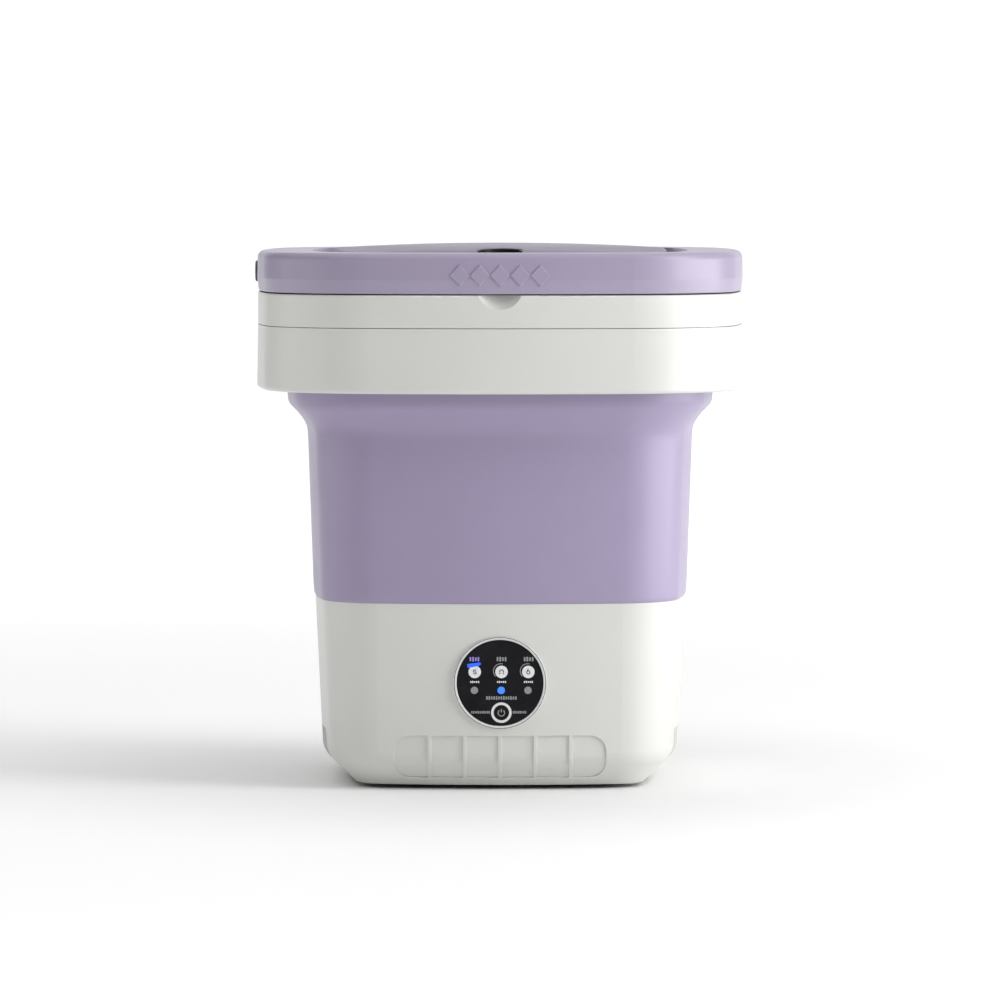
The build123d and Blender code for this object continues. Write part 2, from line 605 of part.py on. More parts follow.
pan = ring(121.5, 92.5, 284, 286.5) + ring(121.5, 119, 286, 303) + ring(95, 92.5, 286, TROUGH_FLOOR - 2.5)
pan += ring(cavity_half - PAN_GAP, 120, 300.5, 303) + ring(128, 121, 291.5, 293.5)
for x, y in on_outline(LID_SCREW_HALF, 60):
    pan -= rod(1.6, 298, 305, x, y)
pan -= block(button_face - 5, bracket_face + 7.5, -17, 17, 298, 305)
write("lid_pan", pan)
lid_screws = Part()
for x, y in on_outline(LID_SCREW_HALF, 60):
    lid_screws += rod(1.3, 298.5, 310, x, y) + rod(2.8, 298.5, 300.5, x, y)
write("lid_screws", lid_screws)
write("lid_gasket", ring(127, 123, RIM_TOP, 291.5))

crown = Pos(0, 0, WINDOW_PEAK - CROWN_RADIUS) * Sphere(CROWN_RADIUS)
under = Pos(0, 0, WINDOW_PEAK - 3 - CROWN_RADIUS) * Sphere(CROWN_RADIUS)
window = stack((WINDOW_HALF, WINDOW_SEAT), (WINDOW_HALF, WINDOW_PEAK + 2)) & crown
window = fillet(window.edges().filter_by(lambda e: e.center().Z > 312 and e.length > 60), 4.0)
window -= stack((95.5, WINDOW_SEAT), (95.5, WINDOW_PEAK + 2)) & under
pocket_y = 5 - WINDOW_HALF
window -= rod(POCKET_RADIUS, WINDOW_SEAT, 322, 0, pocket_y)
write("lid_window", window)

pocket = rod(POCKET_RADIUS - 0.2, WINDOW_SEAT, 322, 0, pocket_y) & (Pos(0, 0, -0.4) * crown)
pocket -= rod(POCKET_RADIUS - 0.2 - POCKET_WALL, 312, 330, 0, pocket_y)
pocket -= block(-30, 30, -140, 0.8 - WINDOW_HALF, 300, 330)
write("finger_pocket", pocket)
write("window_seal", ring(99.5, 95.6, TROUGH_FLOOR, WINDOW_SEAT))
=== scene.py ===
"""Portable folding washer: finishes, soft wall, panel graphics, studio light and camera."""

from __future__ import annotations

import json
import logging
import math
from dataclasses import dataclass, field
from enum import Enum
from functools import cached_property
from typing import Any, Iterable

import bmesh
import bpy
from mathutils import Matrix, Vector

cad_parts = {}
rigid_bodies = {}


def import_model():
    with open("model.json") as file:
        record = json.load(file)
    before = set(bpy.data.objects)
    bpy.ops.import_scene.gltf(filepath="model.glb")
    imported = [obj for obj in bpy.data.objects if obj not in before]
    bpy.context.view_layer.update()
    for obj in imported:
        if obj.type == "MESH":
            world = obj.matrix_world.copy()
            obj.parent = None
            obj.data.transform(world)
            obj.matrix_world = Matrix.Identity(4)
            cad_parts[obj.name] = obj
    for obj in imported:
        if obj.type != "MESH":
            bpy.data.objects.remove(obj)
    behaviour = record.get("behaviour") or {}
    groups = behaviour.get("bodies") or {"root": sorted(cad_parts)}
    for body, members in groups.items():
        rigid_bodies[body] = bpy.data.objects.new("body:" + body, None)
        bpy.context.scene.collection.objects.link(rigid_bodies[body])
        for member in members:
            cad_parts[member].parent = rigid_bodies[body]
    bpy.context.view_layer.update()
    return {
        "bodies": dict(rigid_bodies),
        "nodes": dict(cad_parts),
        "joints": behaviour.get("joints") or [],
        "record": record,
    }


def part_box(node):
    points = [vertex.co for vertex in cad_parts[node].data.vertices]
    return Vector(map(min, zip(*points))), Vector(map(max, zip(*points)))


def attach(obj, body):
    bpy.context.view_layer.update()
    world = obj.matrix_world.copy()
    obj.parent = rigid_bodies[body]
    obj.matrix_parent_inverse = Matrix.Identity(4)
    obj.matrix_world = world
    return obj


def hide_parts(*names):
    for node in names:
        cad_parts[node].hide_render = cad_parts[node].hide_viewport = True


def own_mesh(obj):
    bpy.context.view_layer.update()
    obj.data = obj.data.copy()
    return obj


LOG = logging.getLogger("washer")
MM = 0.001
SHARP_EDGE = math.radians(35.0)
WELD = 1e-5
QUARTER = math.radians(90.0)
RGB = tuple[float, float, float]
Point = tuple[float, float, float]

# Plan outline shared with the solid model: side arcs and corner arcs of one offset family.
SIDE_OFFSET = 0.310
CORNER_OFFSET = 0.070
ARC_CENTRES = SIDE_OFFSET + CORNER_OFFSET
CORNER_AT = (math.sqrt(2 * ARC_CENTRES**2 - SIDE_OFFSET**2) - SIDE_OFFSET) / 2
SIDE_ANGLE = math.atan2(CORNER_AT, CORNER_AT + SIDE_OFFSET)


# ------------------------------------------------------------------ shader expressions
class Sock:
    """A node socket that takes part in arithmetic."""

    def __init__(self, tree: "Tree", socket: bpy.types.NodeSocket) -> None:
        """Keep the tree and the socket."""
        self.tree = tree
        self.socket = socket

    def maths(self, operation: str, *others: Any) -> "Sock":
        """Add a Math node.

        Args:
            operation: Math node operation name.
            *others: further operands, sockets or numbers.

        Returns:
            The value output.
        """
        values = dict(enumerate((self, *others)))
        return self.tree.add("ShaderNodeMath", {"operation": operation}, values)[0]

    def __add__(self, other: Any) -> "Sock":
        """Sum."""
        return self.maths("ADD", other)

    __radd__ = __add__

    def __mul__(self, other: Any) -> "Sock":
        """Product."""
        return self.maths("MULTIPLY", other)

    __rmul__ = __mul__

    def ramp(self, low: float, high: float, start: float = 0.0, end: float = 1.0) -> "Sock":
        """Map a range smoothly onto another.

        Args:
            low: value that gives start.
            high: value that gives end.
            start: result at low.
            end: result at high.

        Returns:
            The mapped, clamped value.
        """
        settings = {"interpolation_type": "SMOOTHSTEP"}
        values = {0: self, 1: low, 2: high, 3: start, 4: end}
        return self.tree.add("ShaderNodeMapRange", settings, values)[0]

    def mix(self, first: RGB, second: RGB) -> "Sock":
        """Blend two colours by this value.

        Args:
            first: colour where the value is 0.
            second: colour where it is 1.

        Returns:
            The blended colour.
        """
        settings = {"data_type": "RGBA"}
        values = {"Factor": self, "A": first, "B": second}
        return self.tree.add("ShaderNodeMix", settings, values)["Result"]


class Outputs:
    """Outputs of one node, by name or number."""

    def __init__(self, tree: "Tree", node: bpy.types.Node) -> None:
        """Keep the node."""
        self.tree = tree
        self.node = node

    def __getitem__(self, key: int | str) -> Sock:
        """Find an output that is enabled.

        Args:
            key: its name or number.

        Returns:
            The wrapped output.
        """
        if isinstance(key, int):
            return Sock(self.tree, self.node.outputs[key])
        found = [s for s in self.node.outputs if s.name == key and s.enabled]
        return Sock(self.tree, found[0])


class Tree:
    """Nodes of one material or world, with one way of adding them."""

    def __init__(self, owner: bpy.types.Material | bpy.types.World) -> None:
        """Start with an output and nothing else.

        Args:
            owner: the material or world.
        """
        self.owner = owner
        owner.use_nodes = True
        self.nodes = owner.node_tree.nodes
        self.links = owner.node_tree.links
        self.nodes.clear()
        kind = "World" if isinstance(owner, bpy.types.World) else "Material"
        self.output = self.nodes.new("ShaderNodeOutput" + kind)

    @classmethod
    def material(cls, name: str) -> "Tree":
        """A tree for a new material."""
        return cls(bpy.data.materials.new(name))

    def add(
        self,
        kind: str,
        settings: dict[str, Any] | None = None,
        values: dict[Any, Any] | None = None,
    ) -> Outputs:
        """Add a node.

        Args:
            kind: node type.
            settings: properties, set first.
            values: socket name or number to a value, colour or socket.

        Returns:
            The node's outputs.
        """
        node = self.nodes.new(kind)
        for key, value in (settings or {}).items():
            setattr(node, key, value)
        for key, value in (values or {}).items():
            if isinstance(key, int):
                socket = node.inputs[key]
            else:
                socket = [s for s in node.inputs if s.name == key and s.enabled][0]
            if isinstance(value, Sock):
                self.links.new(value.socket, socket)
            elif isinstance(value, tuple) and socket.type == "RGBA" and len(value) == 3:
                socket.default_value = (*value, 1.0)
            else:
                socket.default_value = value
        return Outputs(self, node)

    def place(self) -> Sock:
        """Object coordinates in metres."""
        return self.add("ShaderNodeTexCoord")["Object"]

    def noise(self, scale: float, detail: float = 2.0, roughness: float = 0.5) -> Sock:
        """Noise on Object coordinates.

        Args:
            scale: cells per metre.
            detail: octaves.
            roughness: weight of the finer octaves.

        Returns:
            The factor output.
        """
        values = {"Vector": self.place(), "Scale": scale, "Detail": detail, "Roughness": roughness}
        return self.add("ShaderNodeTexNoise", None, values)[0]

    def bump(self, height: Sock, strength: float, distance: float) -> Sock:
        """A Bump node over a height, its distance in metres."""
        values = {"Height": height, "Strength": strength, "Distance": distance}
        return self.add("ShaderNodeBump", None, values)["Normal"]

    def surface(self, values: dict[str, Any]) -> bpy.types.Material:
        """Finish with a Principled shader.

        Args:
            values: the shader's sockets.

        Returns:
            The material.
        """
        shader = self.add("ShaderNodeBsdfPrincipled", None, values)["BSDF"]
        self.links.new(shader.socket, self.output.inputs["Surface"])
        return self.owner


def plain(box: Any) -> list[list[float]]:
    """A box as plain lists."""
    return [[float(value) for value in corner] for corner in box]


def node_box(node: str) -> list[list[float]]:
    """Lowest and highest corner of a solid at rest, in metres to the hundredth of a millimetre."""
    return [[round(value, 5) for value in corner] for corner in plain(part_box(node))]


def toned(color: RGB, share: float) -> RGB:
    """A colour with each channel scaled, at most 1."""
    return tuple(min(1.0, channel * share) for channel in color)


# ------------------------------------------------------------------ finishes
@dataclass(frozen=True)
class MouldedPlastic:
    """Injection-moulded plastic with a fine eggshell grain and slight colour flow."""

    name: str
    color: RGB
    roughness: float = 0.32
    coat: float = 0.25
    grain: float = 0.035
    flow: float = 0.008

    def build(self) -> bpy.types.Material:
        """Make the material.

        Returns:
            The finished material.
        """
        tree = Tree.material(self.name)
        cloud = tree.noise(14.0, 3.0)
        fine = tree.noise(2600.0, 2.0)
        wipe = tree.noise(55.0, 4.0, 0.6)
        darker, lighter = toned(self.color, 1 - self.flow), toned(self.color, 1 + self.flow)
        values = {
            "Base Color": cloud.ramp(0.35, 0.65).mix(darker, lighter),
            "Roughness": wipe.ramp(0.3, 0.7, self.roughness * 0.93, self.roughness * 1.08),
            "Normal": tree.bump(fine, self.grain, 0.06 * MM),
            "Coat Weight": self.coat,
            "Coat Roughness": 0.18,
            "Specular IOR Level": 0.5,
        }
        return tree.surface(values)


@dataclass(frozen=True)
class Elastomer:
    """Soft-touch elastomer: broad dull gloss, fine pebble and a light bloom."""

    name: str
    color: RGB
    roughness: float = 0.34
    pebble: float = 0.16
    sheen: float = 0.05

    def build(self) -> bpy.types.Material:
        """Make the material.

        Returns:
            The finished material.
        """
        tree = Tree.material(self.name)
        cloud = tree.noise(9.0, 4.0, 0.6)
        bloom = tree.noise(70.0, 4.0, 0.65)
        pebble = tree.noise(1500.0, 2.0)
        darker, lighter = toned(self.color, 0.988), toned(self.color, 1.012)
        rough = bloom.ramp(0.3, 0.7, self.roughness * 0.92, self.roughness * 1.1)
        values = {
            "Base Color": (cloud * 0.6 + bloom * 0.4).ramp(0.38, 0.62).mix(darker, lighter),
            "Roughness": rough,
            "Normal": tree.bump(pebble, self.pebble, 0.08 * MM),
            "Sheen Weight": self.sheen,
            "Sheen Roughness": 0.5,
            "Subsurface Weight": 0.08,
            "Subsurface Radius": (0.005, 0.004, 0.005),
            "Subsurface Scale": 1.0,
        }
        return tree.surface(values)


@dataclass(frozen=True)
class SmokedClear:
    """Milky smoked clear plastic for the window."""

    name: str
    color: RGB
    alpha: float = 0.8

    def build(self) -> bpy.types.Material:
        """Make the material.

        Returns:
            The finished material.
        """
        tree = Tree.material(self.name)
        haze = tree.noise(16.0, 3.0)
        wipe = tree.noise(60.0, 4.0, 0.65)
        darker, lighter = toned(self.color, 0.99), toned(self.color, 1.01)
        values = {
            "Base Color": haze.ramp(0.3, 0.7).mix(darker, lighter),
            "Roughness": wipe.ramp(0.3, 0.7, 0.40, 0.46),
            "Alpha": haze.ramp(0.3, 0.7, self.alpha - 0.006, self.alpha + 0.006),
            "Specular IOR Level": 0.12,
            "IOR": 1.49,
        }
        return tree.surface(values)


@dataclass(frozen=True)
class GlossLens:
    """Back-printed gloss lens with faint swirl marks."""

    name: str
    color: RGB
    roughness: float = 0.09
    specular: float = 0.10

    def build(self) -> bpy.types.Material:
        """Make the material.

        Returns:
            The finished material.
        """
        tree = Tree.material(self.name)
        smear = tree.noise(90.0, 5.0, 0.7)
        lighter: RGB = tuple(c * 1.5 + 0.002 for c in self.color)
        values = {
            "Base Color": smear.ramp(0.3, 0.7).mix(self.color, lighter),
            "Roughness": smear.ramp(0.35, 0.75, self.roughness, self.roughness * 2.2),
            "Normal": tree.bump(tree.noise(40.0, 1.0), 0.02, 0.4 * MM),
            "Specular IOR Level": self.specular,
        }
        return tree.surface(values)


class MetalLook(Enum):
    """How a metal surface was worked: colour, roughness, grain stretch along Z."""

    DRAWN = ((0.46, 0.46, 0.47), 0.38, 0.05)
    ZINC = ((0.66, 0.67, 0.69), 0.30, 1.0)
    STEEL = ((0.58, 0.58, 0.59), 0.24, 0.15)
    COPPER = ((0.72, 0.36, 0.19), 0.34, 8.0)
    LAMINATED = ((0.20, 0.20, 0.21), 0.50, 30.0)


@dataclass(frozen=True)
class Metal:
    """Metal with directional grain."""

    name: str
    look: MetalLook

    def build(self) -> bpy.types.Material:
        """Make the material.

        Returns:
            The finished material.
        """
        color, rough, stretch = self.look.value
        tree = Tree.material(self.name)
        scale = (1.0, 1.0, stretch)
        moved = tree.add("ShaderNodeMapping", None, {"Vector": tree.place(), "Scale": scale})[0]
        values = {"Vector": moved, "Scale": 900.0, "Detail": 3.0}
        grain = tree.add("ShaderNodeTexNoise", None, values)[0]
        tarnish = tree.noise(45.0, 4.0, 0.6)
        values = {
            "Base Color": tarnish.ramp(0.35, 0.7).mix(color, toned(color, 0.86)),
            "Metallic": 1.0,
            "Roughness": (grain * 0.5 + tarnish * 0.5).ramp(0.3, 0.7, rough * 0.8, rough * 1.25),
            "Normal": tree.bump(grain, 0.12, 0.08 * MM),
        }
        return tree.surface(values)


@dataclass(frozen=True)
class BoardLaminate:
    """Solder-masked circuit board with tracks."""

    name: str

    def build(self) -> bpy.types.Material:
        """Make the material.

        Returns:
            The finished material.
        """
        tree = Tree.material(self.name)
        values = {"Vector": tree.place(), "Scale": 300.0, "Mortar Size": 0.035, "Brick Width": 0.9}
        values |= {"Row Height": 0.4, "Color1": (0.0, 0.0, 0.0), "Color2": (0.0, 0.0, 0.0)}
        values |= {"Mortar": (1.0, 1.0, 1.0)}
        track = tree.add("ShaderNodeTexBrick", None, values)["Color"]
        mask = tree.add("ShaderNodeSeparateColor", None, {0: track})[0]
        values = {
            "Base Color": mask.mix((0.012, 0.13, 0.055), (0.03, 0.24, 0.10)),
            "Roughness": 0.34,
            "Normal": tree.bump(mask, 0.3, 0.1 * MM),
            "Coat Weight": 0.4,
        }
        return tree.surface(values)


@dataclass(frozen=True)
class Glow:
    """Print or lamp with emission: a painted glow on print, which is no lamp, and real light for
    the lit lamp; at zero power a plain dark film.
    """

    name: str
    color: RGB
    power: float

    def build(self) -> bpy.types.Material:
        """Make the material.

        Returns:
            The finished material.
        """
        tree = Tree.material(self.name)
        patch = tree.noise(900.0, 1.0).ramp(0.2, 0.8)
        shade = patch.mix(self.color, toned(self.color, 1.15))
        values = {
            "Base Color": shade,
            "Emission Color": shade,
            "Emission Strength": self.power,
            "Roughness": 0.4,
        }
        return tree.surface(values)


LID_LILAC: RGB = (0.370, 0.324, 0.450)
WALL_LILAC: RGB = (0.362, 0.308, 0.463)
WHITE: RGB = (0.70, 0.705, 0.67)


@dataclass
class FinishSet:
    """All finishes by slot name."""

    made: dict[str, bpy.types.Material] = field(default_factory=dict)

    def build(self) -> None:
        """Make every material once."""
        kinds = [
            MouldedPlastic("white_shell", WHITE, roughness=0.36, coat=0.15),
            MouldedPlastic("lilac_shell", LID_LILAC, roughness=0.34, coat=0.15),
            MouldedPlastic("lid_lilac", LID_LILAC, roughness=0.36, coat=0.12),
            Elastomer("lilac_soft", WALL_LILAC),
            SmokedClear("window", (0.43, 0.39, 0.49), alpha=0.72),
            GlossLens("panel_black", (0.006, 0.006, 0.008)),
            GlossLens("key_black", (0.006, 0.006, 0.007), roughness=0.16),
            MouldedPlastic("white_trim", (0.80, 0.80, 0.80), roughness=0.22, coat=0.5),
            MouldedPlastic(
                "bezel_silver", (0.74, 0.75, 0.74), roughness=0.26, coat=0.4, grain=0.03
            ),
            MouldedPlastic(
                "button_grey", (0.085, 0.075, 0.105), roughness=0.5, coat=0.0, grain=0.3
            ),
            MouldedPlastic("pocket_black", (0.010, 0.010, 0.012), roughness=0.45, coat=0.1),
            Elastomer("white_rubber", (0.72, 0.72, 0.70), roughness=0.6, pebble=0.3, sheen=0.05),
            Elastomer("dark_rubber", (0.025, 0.025, 0.028), roughness=0.6, pebble=0.3, sheen=0.1),
            Metal("steel", MetalLook.STEEL),
            Metal("zinc_screw", MetalLook.ZINC),
            Metal("copper", MetalLook.COPPER),
            Metal("laminate", MetalLook.LAMINATED),
            Metal("metal_can", MetalLook.DRAWN),
            BoardLaminate("board_green"),
            MouldedPlastic("part_black", (0.02, 0.02, 0.022), roughness=0.45, coat=0.0, grain=0.3),
            MouldedPlastic("inner_white", (0.66, 0.66, 0.65), roughness=0.36, coat=0.15),
            MouldedPlastic(
                "inner_grey", (0.20, 0.20, 0.21), roughness=0.42, coat=0.05, grain=0.25
            ),
            MouldedPlastic("led_clear", (0.60, 0.66, 0.78), roughness=0.12, coat=0.8, grain=0.02),
            Elastomer("wire_black", (0.012, 0.012, 0.012), roughness=0.45, pebble=0.2, sheen=0.0),
            # Painted glow on the print finishes, which are no lamps; print_blue is the real light
            # of the lit lamp, and print_ink has none.
            Glow("print_white", (0.70, 0.71, 0.71), power=0.10),
            Glow("print_blue", (0.03, 0.16, 0.85), power=0.9),
            Glow("print_deep_blue", (0.015, 0.09, 0.75), power=0.7),
            Glow("print_grey", (0.26, 0.27, 0.27), power=0.02),
            Glow("print_violet", (0.22, 0.20, 0.52), power=0.15),
            Glow("print_ink", (0.02, 0.02, 0.022), power=0.0),
            # Flat dark film for the painted shade in the bezel groove.
            Glow("groove_painted_shade", (0.05, 0.05, 0.052), power=0.0),
        ]
        for kind in kinds:
            self.made[kind.name] = kind.build()

    def dress(self, frame: dict[str, Any]) -> None:
        """Give every solid the finish of its slot.
        """
        slots = {row["node"]: row["material_slot"] for row in frame["record"]["subparts"]}
        for name, piece in frame["nodes"].items():
            piece.data.materials.clear()
            piece.data.materials.append(self.made[slots[name]])
            LOG.info("dressed %s in %s", name, slots[name])


# ------------------------------------------------------------------ mesh helpers
def new_piece(
    name: str, mesh: bmesh.types.BMesh, finish: bpy.types.Material
) -> bpy.types.Object:
    """Turn a bmesh into a finished object at the origin.

    Args:
        name: object name.
        mesh: the shape, freed here.
        finish: its material.

    Returns:
        The linked object.
    """
    data = bpy.data.meshes.new(name)
    bmesh.ops.recalc_face_normals(mesh, faces=mesh.faces)
    for edge in mesh.edges:
        edge.smooth = not edge.is_manifold or edge.calc_face_angle(0.0) < SHARP_EDGE
    for face in mesh.faces:
        face.smooth = True
    mesh.to_mesh(data)
    mesh.free()
    data.materials.append(finish)
    piece = bpy.data.objects.new(name, data)
    bpy.context.scene.collection.objects.link(piece)
    LOG.info("built %s with %d faces", name, len(data.polygons))
    return piece


def lathe_square(mesh: bmesh.types.BMesh, corner_steps: int = 26, side_steps: int = 6) -> None:
    """Carry a section drawn at x = 0 on the front round the rounded square.

    Args:
        mesh: holds the section's edges.
        corner_steps: divisions of each corner arc.
        side_steps: divisions of each half side.
    """
    last = mesh.verts[:] + mesh.edges[:]
    side = Vector((0, SIDE_OFFSET, 0))
    corner = Vector((CORNER_AT, -CORNER_AT, 0))
    for quarter in range(4):
        turn = Matrix.Rotation(QUARTER * quarter, 4, "Z")
        follow = Matrix.Rotation(QUARTER * (quarter + 1), 4, "Z")
        arcs = [
            (turn @ side, SIDE_ANGLE, side_steps),
            (turn @ corner, QUARTER - 2 * SIDE_ANGLE, corner_steps),
            (follow @ side, SIDE_ANGLE, side_steps),
        ]
        for centre, angle, steps in arcs:
            last = bmesh.ops.spin(
                mesh, geom=last, cent=centre, axis=(0, 0, 1), dvec=(0, 0, 0), angle=angle,
                steps=steps, use_merge=False, use_duplicate=False,
            )["geom_last"]
    bmesh.ops.remove_doubles(mesh, verts=mesh.verts, dist=WELD)


def draw_section(mesh: bmesh.types.BMesh, points: Iterable[tuple[float, float]]) -> None:
    """Draw a closed section on the front, from half width and height.

    Args:
        mesh: where it is drawn.
        points: pairs of half width and height in metres.
    """
    verts = [mesh.verts.new((0, -half, height)) for half, height in points]
    for first, second in zip(verts, verts[1:]):
        mesh.edges.new((first, second))
    mesh.edges.new((verts[-1], verts[0]))


# ------------------------------------------------------------------ sub-assemblies
@dataclass
class FoldingWall:
    """Soft wall between base and collar, with a rounded shoulder under the skirt.

    Sizes are in metres, and foot, waist and head are half widths of the outside. The lip and
    the bend are steps outwards and upwards in millimetres, from the foot and the shoulder.
    """

    foot: float
    bottom: float
    clamped: float
    travel: float
    waist_low: float = 0.1114
    waist_high: float = 0.1148
    waist_rows: int = 12
    shoulder: float = 0.2066
    head: float = 0.12715
    neck: float = 0.027
    top: float = 0.2678
    thickness: float = 0.0022
    lip: tuple[tuple[float, float], ...] = (
        (-0.2, -0.1), (0.6, 0.7), (0.9, 1.8), (1.0, 3.4),
    )
    bend: tuple[tuple[float, float], ...] = (
        (0.0, -2.0), (0.2, 1.2), (0.7, 3.6), (1.8, 6.2), (3.6, 9.0),
        (6.2, 12.2), (9.0, 15.0), (10.8, 17.0), (11.8, 19.0), (12.05, 22.0),
    )

    @classmethod
    def between(cls, frame: dict[str, Any]) -> "FoldingWall":
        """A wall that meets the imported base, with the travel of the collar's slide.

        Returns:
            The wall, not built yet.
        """
        low, high = node_box("folding_wall")
        slide = next(joint for joint in frame["joints"] if joint["name"] == "collapse")
        travel = max(abs(limit) for limit in slide["range_m"])
        return cls(node_box("base_shell")[1][0], low[2], high[2], travel)

    def outline(self) -> list[tuple[float, float]]:
        """Outside of the wall from its foot to its clamped edge.

        Returns:
            Pairs of half width and height in metres.
        """
        points = [(self.foot + out * MM, self.bottom + up * MM) for out, up in self.lip]
        span = self.shoulder - self.bottom
        for step in range(1, self.waist_rows):
            share = step / self.waist_rows
            half = self.waist_low + (self.waist_high - self.waist_low) * share
            points.append((half, self.bottom + span * share))
        points += [
            (self.waist_high + out * MM, self.shoulder + up * MM) for out, up in self.bend
        ]
        return points + [(self.head, self.shoulder + self.neck), (self.head, self.top)]

    def build(self, finish: bpy.types.Material) -> bpy.types.Object:
        """Make the wall and tie it to the base.

        Args:
            finish: soft lilac.

        Returns:
            The wall.
        """
        outer = self.outline()
        inner = [(half - self.thickness, height) for half, height in reversed(outer)]
        mesh = bmesh.new()
        draw_section(mesh, outer + inner)
        lathe_square(mesh)
        wall = new_piece("soft_wall", mesh, finish)
        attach(wall, "base")
        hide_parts("folding_wall")
        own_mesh(wall)
        return wall


class Mark(Enum):
    """Shapes printed on the round panel."""

    DISC = "disc"
    RING = "ring"
    ARC = "arc"
    BAR = "bar"


@dataclass(frozen=True)
class Ink:
    """One printing pass: object name, finish, height of its film above the lens and its body."""

    name: str
    finish: str
    level: float
    body: str = "base"


@dataclass
class PanelPrint:
    """Icons, label bars and lights printed on the round lens, leaning with the base wall.

    The wall's foot is a half width and a height in metres. The places on the lens, from
    middle on, are in millimetres from its centre.
    """

    height: float = 0.064
    wall_foot: tuple[float, float] = (0.106, 0.018)
    face: float = 0.00065
    film: float = 0.00006
    middle: float = 0.9
    pitch: float = 15.6
    heading_row: float = 14.0
    icon_row: float = 6.5
    caption_row: float = 0.6
    lamp_row: float = -4.3
    status_row: float = -8.8
    key_row: float = -17.5
    key_at: float = 0.8
    icon_radius: float = 3.65
    lamp_radius: float = 2.15
    # Outer and inner radius in millimetres of the painted shade ring in the bezel groove.
    groove_shade_ring: tuple[float, float] = (26.86, 26.54)
    inks: tuple[Ink, ...] = (
        Ink("print_icons", "print_white", 0.0),
        Ink("print_dim", "print_grey", 0.00002),
        Ink("print_lit", "print_blue", 0.00004),
        Ink("print_tint", "print_violet", 0.00003),
        Ink("print_glyphs", "print_ink", 0.00008),
        Ink("print_stroke", "print_deep_blue", 0.00005),
        Ink("print_key", "print_grey", 0.00026, "power_button"),
        # Painted shade: a dark ring film laid in the bezel groove.
        Ink("bezel_painted_shade", "groove_painted_shade", -0.00003),
    )
    meshes: dict[str, bmesh.types.BMesh] = field(default_factory=dict)

    @cached_property
    def lens_place(self) -> Matrix:
        """Lay out the lens: x right, y up it, z out of it.

        Returns:
            The matrix from the lens to the object.
        """
        foot, foot_level = self.wall_foot
        head, _, head_level = node_box("base_shell")[1]
        lean = (head - foot) / (head_level - foot_level)
        depth = foot + (self.height - foot_level) * lean
        across = Vector((1, 0, 0))
        out = Vector((0, -1, -lean)).normalized()
        up = out.cross(across)
        turn = Matrix((across, up, out)).transposed().to_4x4()
        return Matrix.Translation((0, -depth, self.height)) @ turn

    def mark(
        self,
        ink: str,
        shape: Mark,
        x: float,
        y: float,
        size: tuple[float, float],
        turn: float = 0.0,
        sweep: float = 360.0,
    ) -> None:
        """Add one printed shape.

        Args:
            ink: object name of the printing pass.
            shape: disc, ring, arc or bar.
            x: millimetres right of the lens centre.
            y: millimetres up from it.
            size: outer and inner radius, or width and height, in millimetres.
            turn: degrees anticlockwise.
            sweep: degrees that an arc covers, centred on its turn.
        """
        mesh = self.meshes[ink]
        level = next(row.level for row in self.inks if row.name == ink)
        lift = self.face + level + self.film / 2
        place = self.lens_place @ Matrix.Translation((x * MM, y * MM, lift))
        place = place @ Matrix.Rotation(math.radians(turn), 4, "Z")
        wide, tall = size[0] * MM, size[1] * MM
        if shape is Mark.BAR:
            scale = Matrix.Diagonal((wide, tall, self.film, 1))
            made = bmesh.ops.create_cube(mesh, size=1.0, matrix=place @ scale)["verts"]
            upright = place.to_3x3().col[2]
            uprights = []
            for edge in dict.fromkeys(edge for vert in made for edge in vert.link_edges):
                along = (edge.verts[0].co - edge.verts[1].co).normalized()
                if abs(along.dot(upright)) > 0.9:
                    uprights.append(edge)
            bmesh.ops.bevel(
                mesh, geom=uprights, offset=min(wide, tall) * 0.3, affect="EDGES", segments=2,
                profile=0.5, material=-1,
            )
        elif shape is Mark.DISC:
            bmesh.ops.create_cone(
                mesh, cap_ends=True, segments=48, radius1=wide, radius2=wide,
                depth=self.film, matrix=place,
            )
        else:
            self.sweep_ring(mesh, place, wide, tall, sweep)

    def sweep_ring(
        self, mesh: bmesh.types.BMesh, place: Matrix, outer: float, inner: float, sweep: float
    ) -> None:
        """Spin a small rectangle into a ring or part of one.

        Args:
            mesh: where it goes.
            place: centre and lie of the ring.
            outer: outer radius in metres.
            inner: inner radius in metres.
            sweep: degrees covered.
        """
        start = place @ Matrix.Rotation(math.radians(-sweep / 2), 4, "Z")
        half = self.film / 2
        profile = [(inner, -half), (outer, -half), (outer, half), (inner, half)]
        verts = [mesh.verts.new(start @ Vector((radius, 0, rise))) for radius, rise in profile]
        edges = [mesh.edges.new(pair) for pair in zip(verts, verts[1:] + verts[:1])]
        whole = sweep >= 360.0
        last = bmesh.ops.spin(
            mesh, geom=verts + edges, cent=place.translation, axis=place.to_3x3().col[2],
            dvec=(0, 0, 0), angle=math.radians(sweep), steps=max(8, int(sweep / 8)),
            use_merge=whole, use_duplicate=False,
        )["geom_last"]
        if not whole:
            ends = edges + [part for part in last if isinstance(part, bmesh.types.BMEdge)]
            bmesh.ops.holes_fill(mesh, edges=ends, sides=4)

    def words(self, ink: str, x: float, y: float, size: tuple[float, float], count: int) -> None:
        """A label as a row of plain blocks.

        Args:
            ink: object name of the printing pass.
            x: millimetres right of the lens centre.
            y: millimetres up from it.
            size: width and height of the row in millimetres.
            count: number of blocks.
        """
        pitch = size[0] / count
        for index in range(count):
            at = x - size[0] / 2 + (index + 0.5) * pitch
            drop = (0.0, 0.12, -0.10)[index % 3] * size[1]
            self.mark(ink, Mark.BAR, at, y, (pitch * 0.66, size[1] + drop))

